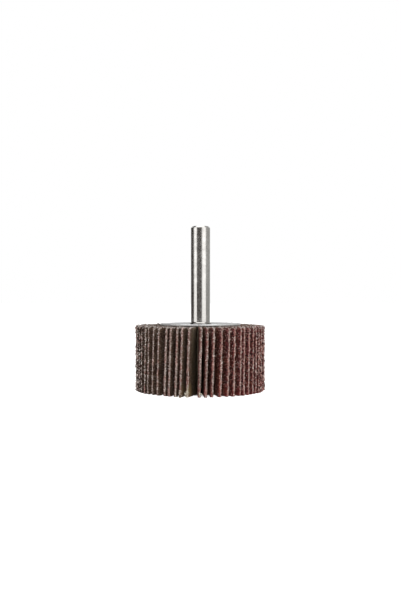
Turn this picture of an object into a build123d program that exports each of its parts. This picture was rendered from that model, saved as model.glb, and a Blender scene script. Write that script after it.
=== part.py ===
"""Mounted flap wheel: abrasive cloth flaps fanned round a resin core on a steel shank.

The wheel stands on the open ends of its flaps, at z = 0, with the shank up along +Z.
Fan angles are degrees from the front, -Y, and grow counter-clockwise seen from the shank side.
"""
import os
from math import atan2, cos, radians, sin, tan

from build123d import *

# Flaps
WHEEL_D = 40.0
FLAP_WIDTH = 20.0
FLAP_COUNT = 57
FLAP_T = 0.72
FLAP_CORNER_R = 0.5

# Fan of flaps: its roots crowd at the front, and its widest gap is just left of the front
FAN_START = -2.0
FAN_CROWDING = 6.5
TIP_TWIST = 2.0
TWIST_SWING = 1.2
LEANS_RIGHT_OF_GAP = (1.6, 1.3, 1.0, 2.4, 3.5, 3.4, 4.4, 2.2, 2.1, 2.0, 0.7, 0.1, -0.8)
LEANS_LEFT_OF_GAP = (-3.3, -3.8, -2.1, -2.5, -0.8, -3.2, -3.5, -4.1, -2.9, -3.6, -2.1)
REAR_LEAN = 1.1
REAR_LEAN_STEP = 2.2

# Resin core
ROOT_DEPTH = 1.7
ROOT_WEB = 0.16
RESIN_RECESS = 1.2
RESIN_DISH = 0.4
RESIN_RIM = 0.5

# Steel end disc
DISC_D = 25.0
DISC_T = 0.6
DISC_EDGE_CHAMFER = 0.15

# Steel shank
SHANK_D = 6.0
SHANK_OUT = 30.2
SHANK_CHAMFER = 0.5
COLLAR_D = 6.7
COLLAR_LAND = 0.15
COLLAR_FLARE = 0.35
SEAT_D = 5.5
SEAT_RECESS = 0.5
SEAT_CHAMFER = 0.4
KEY_FLAT_DEPTH = 0.35
KEY_FLAT_LENGTH = 12.0
LOCK_GROOVE_DEPTH = 0.3
LOCK_GROOVE_WIDTH = 1.2
LOCK_GROOVE_SETBACK = 1.0

# Places that follow from the sizes
TIP_R = WHEEL_D / 2
PITCH = 360 / FLAP_COUNT
TIGHTEST_PITCH = PITCH * (1 - radians(FAN_CROWDING))
ROOT_R = (FLAP_T + ROOT_WEB) / radians(TIGHTEST_PITCH)
CORE_R = ROOT_R + ROOT_DEPTH
DISC_TOP = FLAP_WIDTH + DISC_T
SHANK_TOP = DISC_TOP + SHANK_OUT
SHANK_R = SHANK_D / 2
SEAT_R = SEAT_D / 2
GROOVE_TOP = FLAP_WIDTH - LOCK_GROOVE_SETBACK
GROOVE_FOOT = GROOVE_TOP - LOCK_GROOVE_WIDTH


def root_angle(number):
    """Fan angle of a flap's root."""
    even = FAN_START + number * PITCH
    return even - FAN_CROWDING * sin(radians(even))


def lean(number):
    """Degrees by which a flap's tip leans from its root, at half its width."""
    from_gap = FLAP_COUNT - 1 - number
    if number < len(LEANS_RIGHT_OF_GAP):
        return LEANS_RIGHT_OF_GAP[number]
    if from_gap < len(LEANS_LEFT_OF_GAP):
        return LEANS_LEFT_OF_GAP[from_gap]
    return REAR_LEAN * sin(REAR_LEAN_STEP * number)


def tip_twist(number):
    """Degrees that a flap's tip turns between its foot and its top: more on the left than on the right."""
    return TIP_TWIST - TWIST_SWING * sin(radians(root_angle(number)))


def outward(number):
    """Direction of a flap's root, away from the axis."""
    turn = radians(root_angle(number) - 90)
    return Vector(cos(turn), sin(turn), 0)


def side_points(tip_lean, side):
    """Start, bend and end of one curved side of a flap that leans by so many degrees.

    The strip runs on past the wheel's outline by its own thickness, and is trimmed there.
    """
    half = side * FLAP_T / 2
    end_x = TIP_R + FLAP_T
    end_y = end_x * tan(radians(tip_lean))
    bend_x = (CORE_R + end_x) / 2
    slope = atan2(end_y, end_x - bend_x)
    start = (CORE_R, half)
    bend = (bend_x - half * tan(slope / 2), half)
    end = (end_x - half * sin(slope), end_y + half * cos(slope))
    return start, bend, end


def make_shank():
    """Spindle with a flared collar on the disc and a thinner, keyed seat in the resin."""
    collar_r = COLLAR_D / 2
    flare_foot = DISC_TOP + COLLAR_LAND
    with BuildPart() as shank:
        with BuildSketch(Plane.XZ):
            with BuildLine():
                Polyline(
                    (SHANK_R, flare_foot + COLLAR_FLARE),
                    (SHANK_R, SHANK_TOP - SHANK_CHAMFER),
                    (SHANK_R - SHANK_CHAMFER, SHANK_TOP),
                    (0, SHANK_TOP),
                    (0, SEAT_RECESS),
                    (SEAT_R - SEAT_CHAMFER, SEAT_RECESS),
                    (SEAT_R, SEAT_RECESS + SEAT_CHAMFER),
                    (SEAT_R, GROOVE_FOOT),
                    (SEAT_R - LOCK_GROOVE_DEPTH, GROOVE_FOOT),
                    (SEAT_R - LOCK_GROOVE_DEPTH, GROOVE_TOP),
                    (SEAT_R, GROOVE_TOP),
                    (SEAT_R, DISC_TOP),
                    (collar_r, DISC_TOP),
                    (collar_r, flare_foot),
                    close=True,
                )
            make_face()
        revolve(axis=Axis.Z)
        with BuildSketch(Plane.XY.offset((RESIN_RECESS + GROOVE_FOOT) / 2)):
            with PolarLocations(SEAT_R, 2):
                Rectangle(2 * KEY_FLAT_DEPTH, SEAT_D)
        extrude(amount=KEY_FLAT_LENGTH / 2, both=True, mode=Mode.SUBTRACT)
    shank.part.label = "shank"
    return shank.part


def make_core(shank):
    """Casting between the shank, the disc and the flap roots, with a dished lower face."""
    rim_r = ROOT_R - RESIN_RIM
    with BuildPart() as core:
        with BuildSketch(Plane.XZ):
            with BuildLine():
                ThreePointArc(
                    (SEAT_R, RESIN_RECESS),
                    ((SEAT_R + rim_r) / 2, RESIN_RECESS + RESIN_DISH),
                    (rim_r, RESIN_RECESS),
                )
                Polyline(
                    (rim_r, RESIN_RECESS),
                    (CORE_R, RESIN_RECESS),
                    (CORE_R, FLAP_WIDTH),
                    (0, FLAP_WIDTH),
                    (0, RESIN_RECESS),
                    (SEAT_R, RESIN_RECESS),
                )
            make_face()
        revolve(axis=Axis.Z)
        add(shank, mode=Mode.SUBTRACT)
        with BuildSketch():
            for number in range(FLAP_COUNT):
                with PolarLocations(ROOT_R, 1, start_angle=root_angle(number) - 90):
                    Rectangle(2 * ROOT_DEPTH, FLAP_T, align=(Align.MIN, Align.CENTER))
        extrude(amount=FLAP_WIDTH, mode=Mode.SUBTRACT)
    core.part.label = "resin_core"
    return core.part


def make_disc():
    """Flat washer between the collar of the shank and the core, wider than the core."""
    with BuildPart() as disc:
        with BuildSketch(Plane.XY.offset(FLAP_WIDTH)):
            Circle(DISC_D / 2)
            Circle(SEAT_R, mode=Mode.SUBTRACT)
        extrude(amount=DISC_T)
        rim = disc.edges().filter_by(GeomType.CIRCLE).sort_by(SortBy.RADIUS)[-2:]
        chamfer(rim, DISC_EDGE_CHAMFER)
    disc.part.label = "end_disc"
    return disc.part


def make_flap(number):
    """Strip with a straight root in its slot and a free end that bends and twists to its tip."""
    out = outward(number)
    half_twist = tip_twist(number) / 2
    with BuildPart() as flap:
        for height, twist in ((0, -half_twist), (FLAP_WIDTH, half_twist)):
            left = side_points(lean(number) + twist, 1)
            right = side_points(lean(number) + twist, -1)
            with BuildSketch(Plane(origin=(0, 0, height), x_dir=out, z_dir=(0, 0, 1))):
                with BuildLine():
                    Polyline(left[0], (ROOT_R, FLAP_T / 2), (ROOT_R, -FLAP_T / 2), right[0])
                    Bezier(*right)
                    Line(right[-1], left[-1])
                    Bezier(*reversed(left))
                make_face()
        loft(ruled=True)
        split(bisect_by=Plane(origin=TIP_R * out, z_dir=out), keep=Keep.BOTTOM)
        cut_edge = flap.faces().sort_by(Axis((0, 0, 0), out))[-1]
        fillet(cut_edge.edges().sort_by(SortBy.LENGTH)[:2], FLAP_CORNER_R)
    flap.part.label = f"flap_{number + 1:02d}"
    return flap.part


os.makedirs("parts", exist_ok=True)
shank_piece = make_shank()
pieces = [shank_piece, make_core(shank_piece), make_disc()]
pieces += [make_flap(number) for number in range(FLAP_COUNT)]
for piece in pieces:
    export_step(piece, f"parts/{piece.label}.step")
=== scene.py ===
import random
from math import atan2, cos, pi, radians, sin

import bmesh
import bpy
from mathutils import Matrix, Vector


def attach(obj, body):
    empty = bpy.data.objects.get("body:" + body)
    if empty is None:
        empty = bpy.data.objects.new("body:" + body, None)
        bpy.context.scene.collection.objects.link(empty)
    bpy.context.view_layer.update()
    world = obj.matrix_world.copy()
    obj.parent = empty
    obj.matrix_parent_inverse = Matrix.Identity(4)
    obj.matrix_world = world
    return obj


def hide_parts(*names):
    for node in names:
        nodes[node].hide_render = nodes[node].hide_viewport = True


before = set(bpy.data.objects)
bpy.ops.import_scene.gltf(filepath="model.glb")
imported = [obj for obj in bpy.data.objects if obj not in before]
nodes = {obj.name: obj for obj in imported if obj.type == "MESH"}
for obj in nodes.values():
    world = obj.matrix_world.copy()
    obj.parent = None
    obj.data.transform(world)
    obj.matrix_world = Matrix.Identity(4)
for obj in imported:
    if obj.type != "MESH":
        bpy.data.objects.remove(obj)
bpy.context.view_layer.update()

MM = 0.001

# Sizes of the wheel, as in the part
TIP_R = 20.0 * MM
CORE_R = 10.7 * MM
ROOT_R = 9.0 * MM
FLAP_WIDTH = 20.0 * MM
FLAP_T = 0.72 * MM
FLAP_COUNT = 57
DISC_R = 12.5 * MM
DISC_T = 0.6 * MM
DISC_TOP = FLAP_WIDTH + DISC_T
DISC_RIM = 0.15 * MM
DISC_RISE = (0.08 * MM, 0.05 * MM, 0.02 * MM)
SEAT_R = 2.75 * MM
FREE_LENGTH = TIP_R - CORE_R
ROOT_SHARE = (CORE_R - ROOT_R) / (TIP_R - ROOT_R)
MESH_NEAR = 0.02 * MM

# Cuts across the strip: close together where it frays, wider apart towards its root
FRAYED_STRETCH = 3.6 * MM
CUTS_IN_FRAYED_STRETCH = 18
CUTS_TO_THE_ROOT = 9
CUTS_THROUGH = 3
CUTS_UP_THE_WIDTH = 95

# How far the wear reaches in from the cut edge, from the top and foot, and at the corners
EDGE_WEAR = 0.9 * MM
END_WEAR = 0.5 * MM
CORNER_WEAR = 1.3 * MM

# Loose threads on each flap
EDGE_THREADS = 12
END_THREADS = 8
CORNER_THREADS = 6
THREAD_R = 0.08 * MM
THREAD_CURL = 70

# Extra pale threads on the feet that are frayed in the photograph: how many, and how far they lean left
FRAYED_SPOT = (-3.2 * MM, -19.4 * MM, 1.1 * MM)
FRAYED_FEET = {"flap_57": (26, 1.3), "flap_56": (8, 0.3), "flap_55": (4, 0.0), "flap_01": (4, -0.5)}
FRAYED_LENGTH = 1.7

# One thread that hangs in front of a foot, and a crumb that clings to another
HANGING_FLAP = "flap_01"
HANGING_FROM = (-0.3 * MM, -20.2 * MM, 1.5 * MM)
HANGING_AIM = (0.0, -0.35, -1.0)
HANGING_SIZE = (2.4, 2.4, 1.6)
CRUMB_FLAP = "flap_56"
CRUMB_PLACE = (-5.85 * MM, -20.1 * MM, 0.22 * MM)
CRUMB_R = 0.34 * MM
CRUMB_SCALE = (1.2, 2.4, 0.8)

# The photograph's camera: a little above the disc, about 245 mm away, tipped by part of a degree
CAMERA_PLACE = (0.0, -245.3 * MM, 28.9 * MM)
CAMERA_TIPS_DOWN = 0.268
LENS = 47.2


def colour(red, green, blue):
    """Linear colour of a shade that is written as it looks on a screen, 0 to 255."""
    shades = [part / 255 for part in (red, green, blue)]
    return (*[s / 12.92 if s < 0.04045 else ((s + 0.055) / 1.055) ** 2.4 for s in shades], 1.0)


# ---- Making meshes


def clear_choice():
    """Object mode, with nothing selected."""
    if bpy.context.object and bpy.context.object.mode != "OBJECT":
        bpy.ops.object.mode_set(mode="OBJECT")
    bpy.ops.object.select_all(action="DESELECT")


def pick(piece):
    """Makes a piece the only selected one, and the active one."""
    clear_choice()
    piece.select_set(True)
    bpy.context.view_layer.objects.active = piece


def choose_edges(test):
    """In edit mode, selects the edges whose two ends pass a test."""
    mesh = bpy.context.object.data
    shape = bmesh.from_edit_mesh(mesh)
    for edge in shape.edges:
        edge.select_set(False)
    for edge in shape.edges:
        if test(edge.verts[0].co, edge.verts[1].co):
            edge.select_set(True)
    bmesh.update_edit_mesh(mesh)


def choose_faces(test):
    """In edit mode, selects the faces that pass a test."""
    mesh = bpy.context.object.data
    shape = bmesh.from_edit_mesh(mesh)
    for face in shape.faces:
        face.select_set(test(face))
    bmesh.update_edit_mesh(mesh)


def cut_across(axis, low, high, cuts):
    """Divides the edges that run along one axis between two places."""
    near = 0.01 * MM

    def runs_along(a, b):
        if abs(a[axis] - b[axis]) < 0.99 * (a - b).length:
            return False
        ends = sorted((a[axis], b[axis]))
        return ends[0] > low - near and ends[1] < high + near

    choose_edges(runs_along)
    bpy.ops.mesh.subdivide(number_cuts=cuts)


def slice_at(place):
    """Cuts the whole strip across its length at one place."""
    bpy.ops.mesh.select_all(action="SELECT")
    bpy.ops.mesh.bisect(plane_co=(place, 0, 0), plane_no=(1, 0, 0))


def weigh(piece, name, weight):
    """A vertex group whose weights follow from each point's place."""
    group = piece.vertex_groups.new(name=name)
    for point in piece.data.vertices:
        share = weight(point.co)
        if share > 0:
            group.add([point.index], min(1.0, share), "REPLACE")


def mark(piece, name, share):
    """A value on each point of a piece, for its material, that follows from the point's place."""
    layer = piece.data.attributes.new(name, "FLOAT", "POINT")
    for point, entry in zip(piece.data.vertices, layer.data):
        entry.value = share(point.co)


def use_modifier(piece, kind, name, **settings):
    """Adds a modifier and applies it."""
    modifier = piece.modifiers.new(name, kind)
    for key, value in settings.items():
        setattr(modifier, key, value)
    pick(piece)
    bpy.ops.object.modifier_apply(modifier=name)


# ---- Materials


def new_material(name):
    """A material with its Principled shader, and its tree to build in."""
    made = bpy.data.materials.new(name)
    made.use_nodes = True
    return made, made.node_tree, made.node_tree.nodes["Principled BSDF"]


def add_node(tree, kind, links=None, **values):
    """A node with its settings, the values of its sockets, and what is joined to them."""
    made = tree.nodes.new(kind)
    for key, value in values.items():
        if hasattr(made, key):
            setattr(made, key, value)
        else:
            made.inputs[key.replace("_", " ")].default_value = value
    for key, source in (links or {}).items():
        tree.links.new(source, made.inputs[key])
    return made


def ramp(tree, source, *stops):
    """Colours along a mask, as (place, colour) stops."""
    made = tree.nodes.new("ShaderNodeValToRGB")
    tree.links.new(source, made.inputs["Fac"])
    band = made.color_ramp
    while len(band.elements) < len(stops):
        band.elements.new(0.5)
    for element, (place, shade) in zip(band.elements, stops):
        element.position = place
        element.color = shade
    return made.outputs["Color"]


def blend_colours(tree, share, first, second):
    """Mixes two colours by a mask. Each is a socket or a plain colour."""
    made = tree.nodes.new("ShaderNodeMix")
    made.data_type = "RGBA"
    for socket, value in ((made.inputs[0], share), (made.inputs[6], first), (made.inputs[7], second)):
        if isinstance(value, bpy.types.NodeSocket):
            tree.links.new(value, socket)
        else:
            socket.default_value = value
    return made.outputs[2]


def spread(tree, source, low, high, to_low=0.0, to_high=1.0):
    """Brings a mask from one range to another."""
    made = add_node(tree, "ShaderNodeMapRange", {"Value": source})
    for key, value in (("From Min", low), ("From Max", high), ("To Min", to_low), ("To Max", to_high)):
        made.inputs[key].default_value = value
    return made.outputs["Result"]


def new_group(name, inputs, outputs):
    """A node group with named sockets, and its inner ends."""
    tree = bpy.data.node_groups.new(name, "ShaderNodeTree")
    for title, kind, value in inputs:
        socket = tree.interface.new_socket(title, in_out="INPUT", socket_type=kind)
        if value is not None:
            socket.default_value = value
    for title, kind in outputs:
        tree.interface.new_socket(title, in_out="OUTPUT", socket_type=kind)
    return tree, tree.nodes.new("NodeGroupInput").outputs, tree.nodes.new("NodeGroupOutput").inputs


def use_group(tree, group, links=None, **values):
    """Places a group in a material with its own values."""
    made = tree.nodes.new("ShaderNodeGroup")
    made.node_tree = group
    for key, value in values.items():
        made.inputs[key.replace("_", " ")].default_value = value
    for key, source in (links or {}).items():
        tree.links.new(source, made.inputs[key])
    return made.outputs


def make_patches_group():
    """Soft, uneven patches: a mask from 0 to 1."""
    tree, given, result = new_group(
        "Patches",
        [("Vector", "NodeSocketVector", None), ("Scale", "NodeSocketFloat", 300.0),
         ("Start", "NodeSocketFloat", 0.4), ("End", "NodeSocketFloat", 0.65)],
        [("Mask", "NodeSocketFloat")],
    )
    noise = add_node(tree, "ShaderNodeTexNoise", {"Vector": given["Vector"], "Scale": given["Scale"]},
                     Detail=4.0, Roughness=0.6)
    made = add_node(tree, "ShaderNodeMapRange",
                    {"Value": noise.outputs["Fac"], "From Min": given["Start"], "From Max": given["End"]})
    tree.links.new(made.outputs["Result"], result["Mask"])
    return tree


def make_grains_group():
    """Packed grains: a shade for each one, the gaps between them, and their height."""
    tree, given, result = new_group(
        "Grains",
        [("Vector", "NodeSocketVector", None), ("Scale", "NodeSocketFloat", 4000.0)],
        [("Shade", "NodeSocketFloat"), ("Gap", "NodeSocketFloat"), ("Height", "NodeSocketFloat")],
    )
    wander = add_node(tree, "ShaderNodeTexNoise", {"Vector": given["Vector"], "Scale": given["Scale"]},
                      Detail=2.0)
    push = add_node(tree, "ShaderNodeVectorMath", {0: wander.outputs["Color"]}, operation="SCALE")
    push.inputs["Scale"].default_value = 0.12 * MM
    moved = add_node(tree, "ShaderNodeVectorMath", {0: given["Vector"], 1: push.outputs[0]},
                     operation="ADD")
    cells = add_node(tree, "ShaderNodeTexVoronoi", {"Vector": moved.outputs[0], "Scale": given["Scale"]})
    split = add_node(tree, "ShaderNodeSeparateColor", {"Color": cells.outputs["Color"]})
    tree.links.new(split.outputs["Red"], result["Shade"])
    gap = add_node(tree, "ShaderNodeMapRange", {"Value": cells.outputs["Distance"]})
    gap.inputs["From Min"].default_value = 0.35
    gap.inputs["From Max"].default_value = 0.75
    tree.links.new(gap.outputs["Result"], result["Gap"])
    peak = add_node(tree, "ShaderNodeMath", {1: cells.outputs["Distance"]}, operation="SUBTRACT")
    peak.inputs[0].default_value = 1.0
    tree.links.new(peak.outputs["Value"], result["Height"])
    return tree


def make_threads_group():
    """Woven threads on a flat pattern in metres: the weave's height, and a shade for its threads."""
    tree, given, result = new_group(
        "Threads",
        [("Vector", "NodeSocketVector", None), ("Pitch", "NodeSocketFloat", 0.28 * MM)],
        [("Height", "NodeSocketFloat"), ("Shade", "NodeSocketFloat")],
    )
    split = add_node(tree, "ShaderNodeSeparateXYZ", {"Vector": given["Vector"]})
    waves = []
    for axis in ("X", "Y"):
        count = add_node(tree, "ShaderNodeMath", {0: split.outputs[axis], 1: given["Pitch"]},
                         operation="DIVIDE")
        turn = add_node(tree, "ShaderNodeMath", {0: count.outputs[0]}, operation="MULTIPLY")
        turn.inputs[1].default_value = 2 * pi
        waves.append(turn.outputs[0])
    both = add_node(tree, "ShaderNodeMath", {0: waves[0], 1: waves[1]}, operation="ADD")
    slant = add_node(tree, "ShaderNodeMath", {0: both.outputs[0]}, operation="SINE")
    across = add_node(tree, "ShaderNodeMath", {0: waves[1]}, operation="SINE")
    total = add_node(tree, "ShaderNodeMath", {0: slant.outputs[0], 1: across.outputs[0]}, operation="ADD")
    height = add_node(tree, "ShaderNodeMapRange", {"Value": total.outputs[0]})
    height.inputs["From Min"].default_value = -2.0
    height.inputs["From Max"].default_value = 2.0
    tree.links.new(height.outputs["Result"], result["Height"])
    stretched = add_node(tree, "ShaderNodeVectorMath", {0: given["Vector"]}, operation="MULTIPLY")
    stretched.inputs[1].default_value = (0.25, 1.0, 1.0)
    uneven = add_node(tree, "ShaderNodeTexNoise", {"Vector": stretched.outputs[0]}, Scale=3600.0,
                      Detail=3.0)
    tree.links.new(uneven.outputs["Fac"], result["Shade"])
    return tree


def make_depth_group():
    """How far in from the wheel's outline a point lies: 0 at the cut edges, 1 at the given depth."""
    tree, given, result = new_group(
        "Depth",
        [("Vector", "NodeSocketVector", None), ("Depth", "NodeSocketFloat", 4 * MM)],
        [("Mask", "NodeSocketFloat")],
    )
    flat = add_node(tree, "ShaderNodeVectorMath", {0: given["Vector"]}, operation="MULTIPLY")
    flat.inputs[1].default_value = (1.0, 1.0, 0.0)
    radius = add_node(tree, "ShaderNodeVectorMath", {0: flat.outputs[0]}, operation="LENGTH")
    within = add_node(tree, "ShaderNodeMath", {1: radius.outputs["Value"]}, operation="SUBTRACT")
    within.inputs[0].default_value = TIP_R
    share = add_node(tree, "ShaderNodeMath", {0: within.outputs[0], 1: given["Depth"]}, operation="DIVIDE",
                     use_clamp=True)
    tree.links.new(share.outputs[0], result["Mask"])
    return tree


def make_foot_group():
    """The stretch of a flap just above its foot, with an uneven top: 1 at the foot, 0 above."""
    tree, given, result = new_group(
        "Foot",
        [("Vector", "NodeSocketVector", None), ("Height", "NodeSocketFloat", 4 * MM)],
        [("Mask", "NodeSocketFloat")],
    )
    noise = add_node(tree, "ShaderNodeTexNoise", {"Vector": given["Vector"]}, Scale=400.0, Detail=2.0)
    uneven = spread(tree, noise.outputs["Fac"], 0.3, 0.7, -1.5 * MM, 1.5 * MM)
    level = add_node(tree, "ShaderNodeSeparateXYZ", {"Vector": given["Vector"]}).outputs["Z"]
    raised = add_node(tree, "ShaderNodeMath", {0: level, 1: uneven}, operation="ADD")
    share = add_node(tree, "ShaderNodeMath", {0: raised.outputs[0], 1: given["Height"]}, operation="DIVIDE",
                     use_clamp=True)
    tree.links.new(spread(tree, share.outputs[0], 0.0, 1.0, 1.0, 0.0), result["Mask"])
    return tree


def make_spot_group():
    """The frayed, khaki foot of the flap that stands left of the gap: 1 at its middle, 0 round it."""
    tree, given, result = new_group(
        "Spot",
        [("Vector", "NodeSocketVector", None), ("Radius", "NodeSocketFloat", 2.6 * MM)],
        [("Mask", "NodeSocketFloat")],
    )
    away = add_node(tree, "ShaderNodeVectorMath", {0: given["Vector"]}, operation="DISTANCE")
    away.inputs[1].default_value = FRAYED_SPOT
    share = add_node(tree, "ShaderNodeMath", {0: away.outputs["Value"], 1: given["Radius"]},
                     operation="DIVIDE", use_clamp=True)
    tree.links.new(spread(tree, share.outputs[0], 0.4, 1.0, 1.0, 0.0), result["Mask"])
    return tree


patches_group = make_patches_group()
grains_group = make_grains_group()
threads_group = make_threads_group()
depth_group = make_depth_group()
foot_group = make_foot_group()
spot_group = make_spot_group()


def object_place(tree):
    """Each point's place on the wheel, in metres."""
    return add_node(tree, "ShaderNodeTexCoord").outputs["Object"]


def make_grit():
    """Maroon abrasive: brown and red grains in resin, rusty in patches, greyed by dust towards -X, with
    painted light and shade deep between the flaps.
    """
    made, tree, shader = new_material("maroon abrasive grit")
    place = object_place(tree)
    grains = use_group(tree, grains_group, {"Vector": place}, Scale=3100.0)
    rusty = use_group(tree, patches_group, {"Vector": place}, Scale=300.0, Start=0.5, End=0.75)
    shades = ramp(tree, grains["Shade"],
                  (0.0, colour(30, 9, 10)), (0.2, colour(70, 25, 26)), (0.45, colour(106, 42, 43)),
                  (0.7, colour(134, 62, 60)), (0.88, colour(184, 118, 112)), (1.0, colour(244, 218, 208)))
    warm = ramp(tree, grains["Shade"],
                (0.0, colour(82, 32, 22)), (0.6, colour(142, 70, 48)), (1.0, colour(196, 130, 96)))
    mixed = blend_colours(tree, rusty["Mask"], shades, warm)
    foot = use_group(tree, foot_group, {"Vector": place}, Height=5 * MM)
    reddened = blend_colours(tree, spread(tree, foot["Mask"], 0.0, 1.0, 0.0, 0.5), mixed,
                             colour(150, 48, 46))
    across = add_node(tree, "ShaderNodeSeparateXYZ", {"Vector": place}).outputs["X"]
    greyed = ramp(tree, grains["Shade"],
                  (0.0, colour(40, 28, 24)), (0.25, colour(76, 58, 52)), (0.5, colour(104, 84, 76)),
                  (0.75, colour(134, 114, 106)), (0.9, colour(186, 168, 158)), (1.0, colour(246, 236, 226)))
    dusty = blend_colours(tree, spread(tree, across, -12 * MM, 6 * MM, 0.8, 0.0), reddened, greyed)
    stained = blend_colours(tree, spread(tree, across, 6 * MM, 16 * MM, 0.0, 0.3), dusty,
                            colour(66, 16, 16))
    sunk = blend_colours(tree, grains["Gap"], stained, colour(44, 16, 15))
    # Painted light and shade: deep between the flaps the colour turns to a set lighter brown that stands in
    # for how the gaps are lit
    depth = use_group(tree, depth_group, {"Vector": place}, Depth=4.5 * MM)
    deep = blend_colours(tree, spread(tree, depth["Mask"], 0.1, 1.0, 0.0, 0.85), sunk, colour(96, 66, 46))
    tree.links.new(deep, shader.inputs["Base Color"])
    tree.links.new(spread(tree, grains["Shade"], 0.0, 1.0, 0.82, 0.5), shader.inputs["Roughness"])
    shader.inputs["Specular IOR Level"].default_value = 0.3
    bump = add_node(tree, "ShaderNodeBump", {"Height": grains["Height"]}, Strength=0.9, Distance=0.12 * MM)
    tree.links.new(bump.outputs["Normal"], shader.inputs["Normal"])
    return made


def make_backing():
    """Olive-brown woven cotton with resin soaked in, with painted shade to the left and painted light and
    shade deep between the flaps, and paler beside the gap.
    """
    made, tree, shader = new_material("olive cloth backing")
    place = object_place(tree)
    pattern = add_node(tree, "ShaderNodeUVMap", uv_map="cloth").outputs["UV"]
    threads = use_group(tree, threads_group, {"Vector": pattern}, Pitch=0.3 * MM)
    soaked = use_group(tree, patches_group, {"Vector": place}, Scale=330.0, Start=0.38, End=0.7)
    shades = ramp(tree, threads["Shade"],
                  (0.25, colour(70, 48, 34)), (0.5, colour(102, 80, 62)), (0.75, colour(150, 126, 106)))
    dark = blend_colours(tree, soaked["Mask"], shades, colour(66, 44, 32))
    specks = use_group(tree, grains_group, {"Vector": place}, Scale=3000.0)
    across = add_node(tree, "ShaderNodeSeparateXYZ", {"Vector": place}).outputs["X"]
    crossed = blend_colours(tree, spread(tree, threads["Height"], 0.1, 0.6, 0.65, 0.0), dark,
                            colour(38, 26, 17))
    depth = use_group(tree, depth_group, {"Vector": place}, Depth=4 * MM)
    # Painted shade: the faces far to the left go dark, where the gaps between the flaps lie in shadow
    painted_shade = blend_colours(tree, spread(tree, across, -18 * MM, -14.5 * MM, 0.6, 0.0), crossed,
                           colour(22, 14, 9))
    # Painted shade: the faces left of the middle are a little darker
    darker = blend_colours(tree, spread(tree, across, -6 * MM, -4 * MM, 0.22, 0.0), painted_shade,
                           colour(30, 15, 13))
    # Painted light and shade: deep between the flaps the colour turns to a set dim brown to the left, and a
    # paler olive from just left of the middle on
    hollow = blend_colours(tree, spread(tree, across, -6 * MM, -4 * MM), colour(66, 54, 42),
                           colour(84, 73, 52))
    deep = blend_colours(tree, spread(tree, depth["Mask"], 0.05, 1.0, 0.0, 0.85), darker, hollow)
    paler = blend_colours(tree, spread(tree, across, -2.7 * MM, -1.7 * MM, 0.0, 0.5), deep,
                          colour(150, 136, 112))
    dotted = blend_colours(tree, spread(tree, specks["Shade"], 0.72, 1.0, 0.0, 0.45), paler,
                           colour(150, 136, 128))
    corner = use_group(tree, spot_group, {"Vector": place}, Radius=3.8 * MM)
    khaki = blend_colours(tree, spread(tree, corner["Mask"], 0.0, 1.0, 0.0, 0.8), dotted,
                          colour(132, 110, 76))
    tree.links.new(khaki, shader.inputs["Base Color"])
    tree.links.new(spread(tree, threads["Shade"], 0.2, 0.8, 0.95, 0.8), shader.inputs["Roughness"])
    bump = add_node(tree, "ShaderNodeBump", {"Height": threads["Height"]}, Strength=0.8, Distance=0.08 * MM)
    tree.links.new(bump.outputs["Normal"], shader.inputs["Normal"])
    shader.inputs["Specular IOR Level"].default_value = 0.2
    return made


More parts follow.
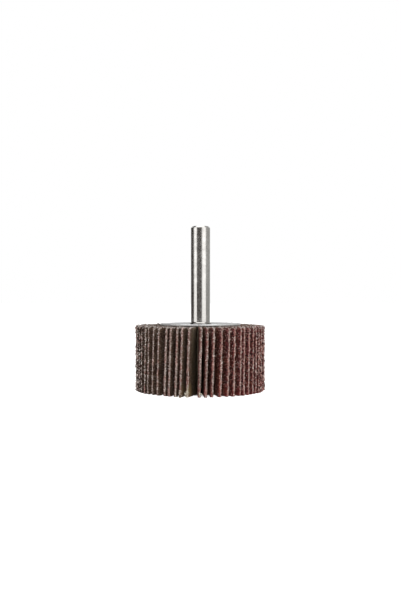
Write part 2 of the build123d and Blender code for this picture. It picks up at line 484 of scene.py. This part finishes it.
def make_cut_edge():
    """Cut edge of the cloth: pale fibre ends with bright specks, with painted glints and painted shade
    specks at the sides, painted light on the top ends and painted shade inward from the outline.

    Red dust and the grit's layer show more towards +X, and a flap's foot is redder.
    """
    made, tree, shader = new_material("pale cut cloth")
    place = object_place(tree)
    fibres = use_group(tree, grains_group, {"Vector": place}, Scale=3000.0)
    dusty = use_group(tree, patches_group, {"Vector": place}, Scale=520.0, Start=0.46, End=0.7)
    shades = ramp(tree, fibres["Shade"],
                  (0.0, colour(92, 76, 69)), (0.2, colour(140, 124, 116)), (0.5, colour(174, 159, 150)),
                  (0.8, colour(206, 193, 185)), (1.0, colour(244, 236, 229)))
    spots = add_node(tree, "ShaderNodeSeparateXYZ", {"Vector": place}).outputs
    rubbed = add_node(tree, "ShaderNodeMath",
                      {0: spread(tree, spots["X"], -12 * MM, 12 * MM, -0.1, 0.4), 1: dusty["Mask"]},
                      operation="ADD", use_clamp=True)
    # Painted glints and painted shade: at the sides the fibre specks turn near-white and near-black
    starker = ramp(tree, fibres["Shade"],
                   (0.0, colour(44, 33, 30)), (0.3, colour(104, 88, 80)), (0.55, colour(174, 159, 150)),
                   (0.75, colour(236, 226, 218)), (1.0, colour(254, 250, 244)))
    sideways = add_node(tree, "ShaderNodeMath", {0: spots["X"]}, operation="ABSOLUTE").outputs[0]
    speckled = blend_colours(tree, spread(tree, sideways, 14 * MM, 18 * MM, 0.0, 0.85), shades, starker)
    stained = blend_colours(tree, spread(tree, rubbed.outputs[0], 0.0, 1.0, 0.0, 0.7), speckled,
                            colour(192, 132, 122))
    layer = add_node(tree, "ShaderNodeAttribute", attribute_name="grit layer").outputs["Fac"]
    ragged = add_node(tree, "ShaderNodeMath",
                      {0: layer, 1: spread(tree, dusty["Mask"], 0.0, 1.0, -0.1, 0.15)}, operation="ADD")
    gritty = ramp(tree, fibres["Shade"],
                  (0.0, colour(84, 36, 34)), (0.5, colour(132, 66, 62)), (0.85, colour(176, 112, 102)),
                  (1.0, colour(236, 200, 186)))
    thicker = add_node(tree, "ShaderNodeMath",
                       {0: spread(tree, ragged.outputs[0], 0.42, 0.62),
                        1: spread(tree, spots["X"], -12 * MM, 2 * MM, 0.25, 0.8)}, operation="MULTIPLY")
    layered = blend_colours(tree, thicker.outputs[0], stained, gritty)
    sunk = blend_colours(tree, spread(tree, fibres["Gap"], 0.0, 1.0, 0.0, 0.65), layered,
                         colour(80, 62, 53))
    # Painted light: the top ends are paler, as lit from above
    upper = spread(tree, spots["Z"], FLAP_WIDTH - 0.5 * MM, FLAP_WIDTH, 0.0, 0.5)
    painted_top_light = blend_colours(tree, upper, sunk, colour(200, 196, 191))
    # Painted shade: the cut ends darken inward from the outline, between the flaps and under the disc
    depth = use_group(tree, depth_group, {"Vector": place}, Depth=4.5 * MM)
    painted_shade = blend_colours(tree, spread(tree, depth["Mask"], 0.3, 1.0, 0.0, 0.75), painted_top_light,
                           colour(84, 72, 62))
    corner = use_group(tree, spot_group, {"Vector": place})
    khaki = blend_colours(tree, spread(tree, corner["Mask"], 0.0, 1.0, 0.0, 0.6), painted_shade,
                          colour(212, 202, 174))
    foot = use_group(tree, foot_group, {"Vector": place}, Height=2.0 * MM)
    redder = add_node(tree, "ShaderNodeMath",
                      {0: foot["Mask"], 1: spread(tree, spots["X"], -14 * MM, -6 * MM, 0.0, 0.4)},
                      operation="MULTIPLY")
    reddened = blend_colours(tree, redder.outputs[0], khaki, colour(160, 92, 84))
    tree.links.new(reddened, shader.inputs["Base Color"])
    tree.links.new(spread(tree, fibres["Shade"], 0.0, 1.0, 0.95, 0.8), shader.inputs["Roughness"])
    bump = add_node(tree, "ShaderNodeBump", {"Height": fibres["Height"]}, Strength=0.9, Distance=0.12 * MM)
    tree.links.new(bump.outputs["Normal"], shader.inputs["Normal"])
    shader.inputs["Specular IOR Level"].default_value = 0.3
    return made


def make_steel(name, base, tint, roughness, mottle_scale, edge_tint, rim_shade_and_dull, painted_foot_shade, foot_gloss):
    """Polished steel with faint mottling and slight tints.

    Its shade-and-dull values are a level, how strong a painted shadow is up to there, and how dull it is
    just above, where it is also greyed with painted shade.
    From the disc up to its top it goes from the foot's painted shade, and that share of its roughness, to
    its own.
    """
    made, tree, shader = new_material(name)
    place = object_place(tree)
    tinted = use_group(tree, patches_group, {"Vector": place}, Scale=mottle_scale, Start=0.35, End=0.7)
    level = add_node(tree, "ShaderNodeSeparateXYZ", {"Vector": place}).outputs["Z"]
    foot, share, dull_and_shade = rim_shade_and_dull
    # Painted shadow: up to the given level the colour goes dark
    painted_shade = spread(tree, level, foot, foot + 0.22 * MM, share, 0.0)
    # Painted shade: the colour darkens down towards the disc
    shaded = blend_colours(tree, spread(tree, level, DISC_TOP, DISC_TOP + 20 * MM), painted_foot_shade, base)
    clean = blend_colours(tree, tinted["Mask"], shaded, tint)
    # Just above it the steel is rougher, and greyed with painted shade
    dulled_and_shaded = spread(tree, level, foot + 0.32 * MM, foot + 0.48 * MM, dull_and_shade, 0.0)
    greyed = blend_colours(tree, dulled_and_shaded, clean, colour(212, 210, 207))
    tree.links.new(blend_colours(tree, painted_shade, greyed, colour(56, 48, 43)), shader.inputs["Base Color"])
    smudge = use_group(tree, patches_group, {"Vector": place}, Scale=mottle_scale * 3, Start=0.3, End=0.8)
    smooth = spread(tree, smudge["Mask"], 0.0, 1.0, roughness, roughness * 1.8)
    glossier = spread(tree, level, DISC_TOP, DISC_TOP + 20 * MM, foot_gloss, 1.0)
    calm = add_node(tree, "ShaderNodeMath", {0: smooth, 1: glossier}, operation="MULTIPLY")
    rough = add_node(tree, "ShaderNodeMath", {0: calm.outputs[0], 1: dulled_and_shaded}, operation="ADD")
    tree.links.new(rough.outputs[0], shader.inputs["Roughness"])
    shader.inputs["Metallic"].default_value = 1.0
    shader.inputs["Specular Tint"].default_value = (edge_tint, edge_tint, edge_tint, 1.0)
    waves = add_node(tree, "ShaderNodeTexNoise", {"Vector": place}, Scale=mottle_scale * 2, Detail=3.0)
    bump = add_node(tree, "ShaderNodeBump", {"Height": waves.outputs["Fac"]}, Strength=0.4,
                    Distance=0.02 * MM)
    tree.links.new(bump.outputs["Normal"], shader.inputs["Normal"])
    return made


def make_resin():
    """Dark cast resin with pores and dust."""
    made, tree, shader = new_material("cast resin")
    place = object_place(tree)
    pores = use_group(tree, grains_group, {"Vector": place}, Scale=1500.0)
    dust = use_group(tree, patches_group, {"Vector": place}, Scale=600.0, Start=0.5, End=0.75)
    dark = ramp(tree, pores["Shade"], (0.0, colour(72, 62, 44)), (1.0, colour(110, 98, 74)))
    dusty = blend_colours(tree, dust["Mask"], dark, colour(128, 108, 88))
    tree.links.new(dusty, shader.inputs["Base Color"])
    tree.links.new(spread(tree, dust["Mask"], 0.0, 1.0, 0.45, 0.85), shader.inputs["Roughness"])
    bump = add_node(tree, "ShaderNodeBump", {"Height": pores["Height"]}, Strength=0.4, Distance=0.1 * MM)
    tree.links.new(bump.outputs["Normal"], shader.inputs["Normal"])
    return made


def make_pale_thread():
    """Loose cotton of the frayed feet, without dust."""
    made, tree, shader = new_material("pale loose thread")
    fibres = use_group(tree, grains_group, {"Vector": object_place(tree)}, Scale=3000.0)
    shades = ramp(tree, fibres["Shade"], (0.0, colour(176, 164, 138)), (1.0, colour(248, 242, 230)))
    tree.links.new(shades, shader.inputs["Base Color"])
    tree.links.new(spread(tree, fibres["Shade"], 0.0, 1.0, 0.95, 0.8), shader.inputs["Roughness"])
    return made


grit = make_grit()
backing = make_backing()
cut_edge = make_cut_edge()
pale_thread = make_pale_thread()
# The shank's colour darkens towards its foot with painted shade
shank_steel = make_steel("polished shank steel", base=colour(177, 175, 172), tint=colour(150, 148, 145),
                         roughness=0.17, mottle_scale=500.0, edge_tint=1.0, rim_shade_and_dull=(DISC_TOP, 0.0, 0.0),
                         painted_foot_shade=colour(144, 142, 139), foot_gloss=0.4)
# The disc's lower rim carries a painted shadow, and its wall is rougher and greyed with painted shade
disc_steel = make_steel("plated disc steel", base=colour(222, 229, 228), tint=colour(229, 223, 226),
                        roughness=0.08, mottle_scale=260.0, edge_tint=0.35,
                        rim_shade_and_dull=(FLAP_WIDTH + 0.14 * MM, 0.85, 0.8), painted_foot_shade=colour(222, 229, 228),
                        foot_gloss=1.0)
resin = make_resin()


# ---- Flaps


def model_thread():
    """One loose thread, a millimetre long: thin, tapered and bent."""
    clear_choice()
    bpy.ops.mesh.primitive_cylinder_add(vertices=5, radius=THREAD_R, depth=1.0 * MM,
                                        location=(0, 0, 0.5 * MM))
    thread = bpy.context.object
    thread.name = "thread"
    bpy.ops.object.transform_apply(location=True, rotation=False, scale=False)
    bpy.ops.object.mode_set(mode="EDIT")
    bpy.ops.mesh.select_mode(type="EDGE")
    cut_across(2, 0, 1.0 * MM, 3)
    choose_edges(lambda a, b: min(a.z, b.z) > 0.95 * MM)
    bpy.ops.transform.resize(value=(0.25, 0.25, 1))
    choose_edges(lambda a, b: 0.7 * MM < min(a.z, b.z) and max(a.z, b.z) < 0.8 * MM)
    bpy.ops.transform.resize(value=(0.7, 0.7, 1))
    bpy.ops.object.mode_set(mode="OBJECT")
    bpy.ops.object.shade_smooth()
    use_modifier(thread, "SIMPLE_DEFORM", "curl", deform_method="BEND", deform_axis="X",
                 angle=radians(THREAD_CURL))
    thread.data.materials.append(cut_edge)
    return thread


def model_strip():
    """One flat flap, its root behind x = 0 and its cut edge at the far end, centred on its width."""
    clear_choice()
    root = CORE_R - ROOT_R
    bpy.ops.mesh.primitive_cube_add(size=1, location=((FREE_LENGTH - root) / 2, 0, 0))
    strip = bpy.context.object
    strip.name = "strip"
    strip.scale = (FREE_LENGTH + root, FLAP_T, FLAP_WIDTH)
    bpy.ops.object.transform_apply(location=True, rotation=False, scale=True)
    fine_from = FREE_LENGTH - FRAYED_STRETCH
    bpy.ops.object.mode_set(mode="EDIT")
    bpy.ops.mesh.select_mode(type="EDGE")
    slice_at(0)
    slice_at(fine_from)
    cut_across(0, fine_from, FREE_LENGTH, CUTS_IN_FRAYED_STRETCH)
    cut_across(0, 0, fine_from, CUTS_TO_THE_ROOT)
    cut_across(1, -FLAP_T / 2, FLAP_T / 2, CUTS_THROUGH)
    cut_across(2, -FLAP_WIDTH / 2, FLAP_WIDTH / 2, CUTS_UP_THE_WIDTH)
    # The corners at the foot and the top are worn back, and the top one down
    for end, back, drop in ((-1, 0.08 * MM, 0.0), (1, 0.16 * MM, 0.12 * MM)):
        choose_edges(lambda a, b: min(a.x, b.x) > FREE_LENGTH - MESH_NEAR
                     and min(end * a.z, end * b.z) > FLAP_WIDTH / 2 - MESH_NEAR)
        bpy.ops.transform.translate(value=(-back, 0, -end * drop), use_proportional_edit=True,
                                    proportional_edit_falloff="SHARP", proportional_size=0.6 * MM)
    bpy.ops.mesh.select_all(action="SELECT")
    bpy.ops.uv.cube_project(cube_size=1.0)
    bpy.ops.object.mode_set(mode="OBJECT")
    strip.data.uv_layers.active.name = "cloth"
    bpy.ops.object.shade_smooth_by_angle(angle=radians(40))
    for material in (grit, backing, cut_edge):
        strip.data.materials.append(material)
    for face in strip.data.polygons:
        if face.normal.y < -0.9:
            face.material_index = 0
        elif face.normal.y > 0.9:
            face.material_index = 1
        else:
            face.material_index = 0 if face.center.y < -FLAP_T / 4 else 2
    mark(strip, "grit layer", lambda co: 0.5 - co.y / FLAP_T)
    weigh(strip, "free end", lambda co: co.x / FREE_LENGTH)
    weigh(strip, "cut edge", lambda co: 1 - (FREE_LENGTH - co.x) / EDGE_WEAR)
    weigh(strip, "top cut", lambda co: 1 - (FLAP_WIDTH / 2 - co.z) / END_WEAR if co.x > 0 else 0)
    weigh(strip, "foot cut", lambda co: 1 - (FLAP_WIDTH / 2 + co.z) / END_WEAR if co.x > 0 else 0)
    weigh(strip, "foot corner", lambda co: 1 - (FREE_LENGTH - co.x + FLAP_WIDTH / 2 + co.z) / CORNER_WEAR)
    weigh(strip, "top corner", lambda co: 1 - (FREE_LENGTH - co.x + FLAP_WIDTH / 2 - co.z) / CORNER_WEAR)
    weigh(strip, "foot heel", lambda co: min(1, (FREE_LENGTH - co.x) / (1.5 * MM) - 0.2)
          * (1 - (FLAP_WIDTH / 2 + co.z) / (1.2 * MM)) if co.x > 0 and co.z < -0.4 * FLAP_WIDTH else 0)
    weigh(strip, "grit side", lambda co: 1.0 if co.y < -FLAP_T * 0.45 and co.x > 0 else 0)
    return strip


def new_ripple(name, size):
    """A soft random pattern in space, for the uneven edges."""
    made = bpy.data.textures.new(name, "CLOUDS")
    made.noise_scale = size
    return made


edge_ripple = new_ripple("edge ripple", 1.4 * MM)
edge_fray = new_ripple("edge fray", 0.38 * MM)
grain_ripple = new_ripple("grain ripple", 0.32 * MM)
flap_wave = new_ripple("flap wave", 5.0 * MM)


def measure_flap(node):
    """From a flap's solid: where its root points, how far its cut edge stands aside, and its twist."""
    near = 0.03 * MM
    points = [vertex.co for vertex in node.data.vertices]
    innermost = min(point.xy.length for point in points)
    root = sum((point.xy for point in points if point.xy.length < innermost + near), Vector((0, 0)))
    out = root.normalized()
    side = Vector((-out.y, out.x))
    reach = max(point.xy.dot(out) for point in points)
    tip = [point for point in points if point.xy.dot(out) > reach - near]
    aside = []
    for end in (-1, 1):
        ends = [point for point in tip if end * (point.z - FLAP_WIDTH / 2) > 0]
        aside.append((sum(point.xy.dot(side) for point in ends) / len(ends),
                      sum(point.z for point in ends) / len(ends)))
    (foot, foot_z), (top, top_z) = aside
    return out, (foot + top) / 2, atan2(top - foot, top_z - foot_z)


def place_on_rim(flap, along_rim, thread, dice, longer=1.0, leftward=0.0):
    """A loose thread on a point of a flap's rim, standing more or less outward."""
    point = flap.data.vertices[dice.choice(along_rim)].co
    out = point.copy()
    out.z = 0
    out.normalize()
    if point.z > FLAP_WIDTH - 0.6 * MM:
        out = (out * dice.uniform(0.0, 0.8) + Vector((0, 0, 1))).normalized()
    elif point.z < 0.6 * MM:
        downward = Vector((0, 0, 1))
        out = (out * dice.uniform(0.4, 1.2) / longer - downward * dice.uniform(0.0, 0.8)).normalized()
    astray = Vector((dice.gauss(0, 0.4), dice.gauss(0, 0.4), dice.gauss(0, 0.4)))
    aim = out + astray - Vector((leftward, 0, 0))
    turn = dice.uniform(0, 2 * pi)
    thick = dice.uniform(0.7, 1.3)
    size = (thick, thick, dice.uniform(0.3, 0.8) * longer)
    return stand_thread(thread, point - out * 0.1 * MM, aim, size, turn)


def stand_thread(thread, place, aim, size, turn=0.0):
    """A copy of the thread that starts at a place and points somewhere."""
    fibre = thread.copy()
    fibre.data = thread.data.copy()
    bpy.context.scene.collection.objects.link(fibre)
    aimed = Vector(aim).to_track_quat("Z", "Y").to_matrix().to_4x4()
    fibre.data.transform(Matrix.Translation(place) @ aimed @ Matrix.Rotation(turn, 4, "Z")
                         @ Matrix.Diagonal((*size, 1)))
    return fibre


def rest_on_floor(piece):
    """Lays whatever hangs below the floor flat on it."""
    pick(piece)
    bpy.ops.object.mode_set(mode="EDIT")
    bpy.ops.mesh.select_mode(type="VERT")
    shape = bmesh.from_edit_mesh(piece.data)
    for vertex in shape.verts:
        vertex.select_set(vertex.co.z < 0)
    shape.select_flush(False)
    bmesh.update_edit_mesh(piece.data)
    bpy.ops.transform.resize(value=(1, 1, 0), center_override=(0, 0, 0))
    bpy.ops.object.mode_set(mode="OBJECT")


def shape_flap(name, strip, rims, thread, dice):
    """A copy of the strip, bent and twisted to its solid's place, with an uneven rim and loose threads."""
    out, aside, twist = measure_flap(nodes[name])
    flap = strip.copy()
    flap.data = strip.data.copy()
    flap.name = name + "_cloth"
    bpy.context.scene.collection.objects.link(flap)
    use_modifier(flap, "SIMPLE_DEFORM", "twist", deform_method="TWIST", deform_axis="X", angle=-twist,
                 limits=(ROOT_SHARE, 1.0))
    use_modifier(flap, "SIMPLE_DEFORM", "bend", deform_method="BEND", deform_axis="Z",
                 angle=2 * aside / FREE_LENGTH, limits=(ROOT_SHARE, 1.0))
    flap.location = (out.x * CORE_R, out.y * CORE_R, FLAP_WIDTH / 2)
    flap.rotation_euler.z = atan2(out.y, out.x)
    # The edges fray less where the flaps stand slantwise to the front, and a little less at the sides
    slantwise = max(0.0, -2 * abs(out.x) * out.y)
    sideways = max(0.0, min(1.0, (abs(out.x) - 0.8) / 0.15))
    fray = (1 - (0.6 if out.x > 0 else 0.45) * slantwise) * (1 - 0.1 * sideways)
    worn = 0.5 + 0.16 * max(0.0, out.x)
    # Each pattern moves a group of points one way, by up to its strength in mm, round its level
    for texture, direction, group, strength, level in (
            (flap_wave, "Y", "free end", 0.14, 0.5), (edge_ripple, "Y", "cut edge", 0.1 * fray, 0.5),
            (edge_fray, "Y", "cut edge", 0.5 * fray, 0.5), (edge_fray, "X", "cut edge", 1.8 * fray, worn),
            (edge_ripple, "X", "cut edge", 0.4 * fray, 0.5),
            (edge_fray, "Z", "top cut", 1.4, 0.58), (edge_fray, "Z", "foot cut", 1.1, 0.58),
            (None, "Z", "foot heel", dice.uniform(0.1, 0.5), 0.0),
            (None, "Z", "top corner", -0.2 * out.x, 0.0),
            (None, "X", "foot corner", dice.uniform(-0.3, 0.15), 0.0),
            (grain_ripple, "NORMAL", "grit side", 0.09, 0.5)):
        use_modifier(flap, "DISPLACE", "uneven", texture=texture, texture_coords="GLOBAL",
                     direction=direction, vertex_group=group, strength=strength * MM, mid_level=level)
    bpy.ops.object.transform_apply(location=True, rotation=True, scale=False)
    loose = [place_on_rim(flap, rims["edge"], thread, dice) for _ in range(EDGE_THREADS)]
    loose += [place_on_rim(flap, rims["ends"], thread, dice) for _ in range(END_THREADS)]
    loose += [place_on_rim(flap, rims["corners"], thread, dice) for _ in range(CORNER_THREADS)]
    count, leftward = FRAYED_FEET.get(name, (0, 0.0))
    frayed = [place_on_rim(flap, rims["foot"], thread, dice, FRAYED_LENGTH, leftward)
              for _ in range(count)]
    if name == HANGING_FLAP:
        frayed.append(stand_thread(thread, HANGING_FROM, HANGING_AIM, HANGING_SIZE, pi))
    for fibre in frayed:
        fibre.data.materials[0] = pale_thread
    loose += frayed
    if name == CRUMB_FLAP:
        loose.append(model_crumb())
    pick(flap)
    for fibre in loose:
        fibre.select_set(True)
    bpy.ops.object.join()
    rest_on_floor(flap)
    return flap


def model_crumb():
    """Crumb of resin that clings to a flap's foot."""
    clear_choice()
    bpy.ops.mesh.primitive_ico_sphere_add(subdivisions=2, radius=CRUMB_R, location=CRUMB_PLACE)
    crumb = bpy.context.object
    crumb.scale = CRUMB_SCALE
    bpy.ops.object.transform_apply(location=True, rotation=False, scale=True)
    use_modifier(crumb, "DISPLACE", "uneven", texture=grain_ripple, texture_coords="GLOBAL",
                 strength=0.2 * MM)
    crumb.data.materials.append(resin)
    return crumb


def find_rims(strip):
    """The cloth's points where loose threads stand: on the cut edge, the ends, the corners and the foot."""
    rims = {"edge": [], "ends": [], "corners": [], "foot": []}
    for point in strip.data.vertices:
        from_edge = FREE_LENGTH - point.co.x
        from_end = FLAP_WIDTH / 2 - abs(point.co.z)
        if point.co.y < -FLAP_T / 4:
            continue
        if from_edge < MESH_NEAR:
            rims["edge"].append(point.index)
        if from_end < MESH_NEAR and point.co.x > 0:
            rims["ends"].append(point.index)
        if from_edge < 0.8 * MM and from_end < 0.8 * MM and min(from_edge, from_end) < 0.2 * MM:
            rims["corners"].append(point.index)
        if from_edge < 0.25 * MM and from_end < 1.7 * MM and point.co.z < 0:
            rims["foot"].append(point.index)
    return rims


thread_choices = random.Random(57)
strip = model_strip()
rims = find_rims(strip)
thread = model_thread()
for number in range(1, FLAP_COUNT + 1):
    name = f"flap_{number:02d}"
    flap = shape_flap(name, strip, rims, thread, thread_choices)
    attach(flap, "root")
    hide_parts(name)
for pattern in (strip, thread):
    bpy.data.objects.remove(pattern)


# ---- Disc


def choose_ring(radius, low, high):
    """Selects the edges of a ring of some radius, between two levels."""
    near = 0.05 * MM
    choose_edges(lambda a, b: all(abs(co.xy.length - radius) < near and low < co.z < high for co in (a, b))
                 and abs(a.z - b.z) < near)


def inset_flat_face(upward, thickness):
    """Insets the upper or the lower flat face of the piece in edit mode."""
    choose_faces(lambda face: len(face.verts) > 4 and upward * face.normal.z > 0.9)
    bpy.ops.mesh.inset(thickness=thickness)


def model_disc():
    """Washer whose upper face rises a little towards its rounded rim, as pressed ones do."""
    clear_choice()
    middle = FLAP_WIDTH + DISC_T / 2
    bpy.ops.mesh.primitive_cylinder_add(vertices=128, radius=DISC_R, depth=DISC_T,
                                        location=(0, 0, middle))
    disc = bpy.context.object
    disc.name = "end_disc_steel"
    bpy.ops.object.transform_apply(location=True, rotation=False, scale=False)
    bpy.ops.object.mode_set(mode="EDIT")
    bpy.ops.mesh.select_mode(type="FACE")
    for _ in DISC_RISE:
        inset_flat_face(1, 1 * MM)
    inset_flat_face(1, DISC_R - SEAT_R - len(DISC_RISE) * MM)
    inset_flat_face(-1, DISC_R - SEAT_R)
    choose_faces(lambda face: len(face.verts) > 4)
    bpy.ops.mesh.bridge_edge_loops()
    bpy.ops.mesh.select_mode(type="EDGE")
    for ring, rise in enumerate(DISC_RISE):
        choose_ring(DISC_R - ring * MM, middle, DISC_TOP + 0.1 * MM)
        bpy.ops.transform.translate(value=(0, 0, rise))
    choose_ring(DISC_R, FLAP_WIDTH - 0.1 * MM, DISC_TOP + 0.1 * MM)
    bpy.ops.mesh.bevel(offset=DISC_RIM, segments=3, affect="EDGES")
    bpy.ops.object.mode_set(mode="OBJECT")
    bpy.ops.object.shade_smooth_by_angle(angle=radians(40))
    disc.data.materials.append(disc_steel)
    return disc


disc = model_disc()
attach(disc, "root")
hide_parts("end_disc")


# ---- Steel and resin on the solids

for name, material in (("shank", shank_steel), ("end_disc", disc_steel), ("resin_core", resin)):
    for place in nodes[name].material_slots:
        place.material = material


# ---- Floor, light and camera


def add_softbox(name, azimuth, distance, size, power):
    """A lamp that faces the wheel: degrees round from the camera's side, metres away, size and watts."""
    lamp = bpy.data.lights.new(name, "AREA")
    lamp.shape = "RECTANGLE"
    lamp.size, lamp.size_y = size
    lamp.energy = power
    softbox = bpy.data.objects.new(name, lamp)
    turn = radians(azimuth)
    softbox.location = (distance * sin(turn), -distance * cos(turn), size[1] / 2)
    softbox.rotation_euler = (radians(90), 0, turn)
    bpy.context.scene.collection.objects.link(softbox)
    return softbox


def add_flag(name, azimuth, distance, size, shade):
    """A card that shows only in reflections, as a studio's flags do, placed as a softbox is."""
    clear_choice()
    turn = radians(azimuth)
    bpy.ops.mesh.primitive_plane_add(size=1, location=(distance * sin(turn), -distance * cos(turn), 0.2),
                                     rotation=(radians(90), 0, turn))
    card = bpy.context.object
    card.name = name
    card.scale = (*size, 1)
    made, tree, shader = new_material(name)
    tree.nodes.remove(shader)
    glow = add_node(tree, "ShaderNodeEmission", Color=shade, Strength=1.0)
    tree.links.new(glow.outputs["Emission"], tree.nodes["Material Output"].inputs["Surface"])
    card.data.materials.append(made)
    card.visible_camera = False
    card.visible_diffuse = False
    card.visible_shadow = False
    card.visible_transmission = False
    return card


def seen_rays(tree):
    """1 for rays that show the background: from the camera, or by way of metal or glass."""
    rays = add_node(tree, "ShaderNodeLightPath").outputs
    some = add_node(tree, "ShaderNodeMath", {0: rays["Is Camera Ray"], 1: rays["Is Glossy Ray"]},
                    operation="MAXIMUM")
    return add_node(tree, "ShaderNodeMath", {0: some.outputs[0], 1: rays["Is Transmission Ray"]},
                    operation="MAXIMUM").outputs[0]


def set_world():
    """White where it shows, and a soft even light otherwise."""
    world = bpy.data.worlds.new("studio")
    bpy.context.scene.world = world
    world.use_nodes = True
    tree = world.node_tree
    tree.nodes.clear()
    fill = add_node(tree, "ShaderNodeBackground", Color=(1, 1, 1, 1), Strength=0.5)
    shown = add_node(tree, "ShaderNodeBackground", Color=(1, 1, 1, 1), Strength=1.0)
    both = add_node(tree, "ShaderNodeMixShader",
                    {0: seen_rays(tree), 1: fill.outputs[0], 2: shown.outputs[0]})
    end = tree.nodes.new("ShaderNodeOutputWorld")
    tree.links.new(both.outputs[0], end.inputs["Surface"])


def lay_floor():
    """A pale floor that keeps the wheel's shadow, glows white round it, and is clear from below."""
    clear_choice()
    bpy.ops.mesh.primitive_plane_add(size=6.0, location=(0, 0, -0.02 * MM))
    floor = bpy.context.object
    floor.name = "floor"
    made, tree, shader = new_material("pale floor")
    shader.inputs["Base Color"].default_value = (0.85, 0.85, 0.85, 1)
    shader.inputs["Roughness"].default_value = 1.0
    shader.inputs["Specular IOR Level"].default_value = 0.0
    glow = add_node(tree, "ShaderNodeEmission", Color=(1, 1, 1, 1))
    radius = add_node(tree, "ShaderNodeVectorMath", {0: object_place(tree)}, operation="DISTANCE")
    radius.inputs[1].default_value = (-0.12 * TIP_R, 0, 0)
    open_floor = spread(tree, radius.outputs["Value"], 0.72 * TIP_R, 0.76 * TIP_R, 0.0, 0.9)
    shown = add_node(tree, "ShaderNodeMath", {0: seen_rays(tree), 1: open_floor}, operation="MULTIPLY")
    tree.links.new(shown.outputs[0], glow.inputs["Strength"])
    lit = add_node(tree, "ShaderNodeAddShader", {0: shader.outputs[0], 1: glow.outputs[0]})
    clear = tree.nodes.new("ShaderNodeBsdfTransparent")
    under = add_node(tree, "ShaderNodeNewGeometry").outputs["Backfacing"]
    both = add_node(tree, "ShaderNodeMixShader", {0: under, 1: lit.outputs[0], 2: clear.outputs[0]})
    tree.links.new(both.outputs[0], tree.nodes["Material Output"].inputs["Surface"])
    floor.data.materials.append(made)


def place_camera():
    """The camera at the photograph's angle and distance."""
    view = bpy.data.cameras.new("camera")
    view.sensor_width = 36.0
    view.lens = LENS
    view.clip_start = 0.01
    camera = bpy.data.objects.new("camera", view)
    camera.location = CAMERA_PLACE
    camera.rotation_euler = (radians(90 - CAMERA_TIPS_DOWN), 0, 0)
    bpy.context.scene.collection.objects.link(camera)
    bpy.context.scene.camera = camera


set_world()
lay_floor()
add_softbox("left softbox", -62.3, 0.5, (0.315, 0.5), 0.78)
add_softbox("right softbox", 43.6, 0.5, (0.41, 0.5), 1.03)
for side, azimuth, power in (("front", -6, 0.35), ("far left", -84, 0.5), ("far right", 84, 0.6)):
    unseen_softbox = add_softbox(side + " softbox", azimuth, 0.6, (0.3, 0.3), power)
    unseen_softbox.visible_glossy = False
top_softbox = add_softbox("top softbox", 180, 0.0, (0.5, 0.5), 1.5)
top_softbox.location.z = 0.6
top_softbox.rotation_euler = (0, 0, 0)
add_flag("front flag", -16, 0.5, (0.56, 0.8), colour(94, 88, 84))
add_flag("left flag", -119, 0.5, (0.6, 1.4), colour(94, 90, 88))
add_flag("right flag", 109, 0.5, (0.87, 1.4), colour(218, 218, 216))
place_camera()
bpy.context.scene.view_settings.view_transform = "Standard"

clear_choice()
